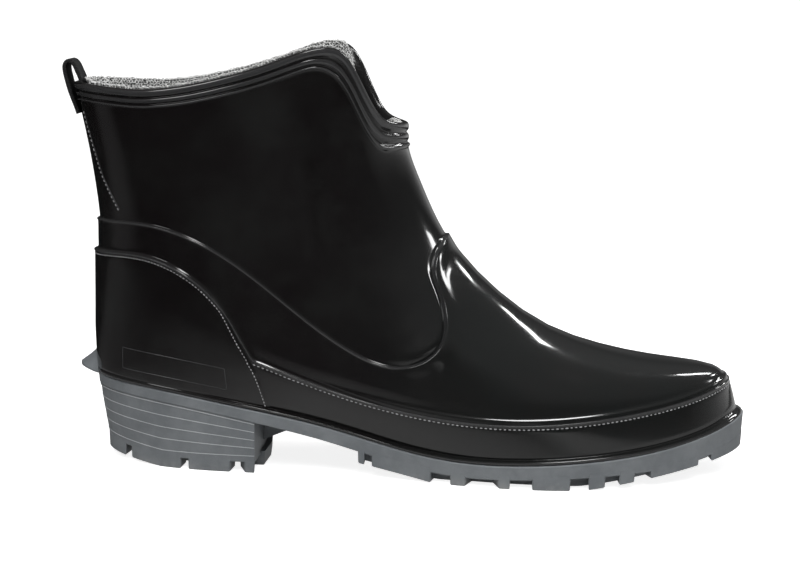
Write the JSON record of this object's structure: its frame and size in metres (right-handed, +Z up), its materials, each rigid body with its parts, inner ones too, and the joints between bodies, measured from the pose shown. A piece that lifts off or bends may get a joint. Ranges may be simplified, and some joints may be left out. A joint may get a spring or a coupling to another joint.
{
  "type": "rubber ankle boot",
  "caption": "Low glossy moulded rubber ankle boot with raised seams, an open collar, a cleated sole with a low block heel, a kick-off spur and a pull loop at the back.",
  "frame": {"origin": "middle of the boot's outline on the floor it stands on", "axes": "+X from heel to toe, +Y towards the inner side of the foot, +Z up"},
  "size_m": [0.2856, 0.0958, 0.1735],
  "materials": {
    "black_gloss_rubber": "glossy, moulded",
    "grey_rubber": "matt, moulded",
    "grey_felt": "matt",
    "black_webbing": "matt, woven"
  },
  "bodies": {
    "root": {"upper": "black_gloss_rubber", "outsole": "grey_rubber", "insole": "grey_felt", "pull_loop": "black_webbing"}
  },
  "joints": []
}
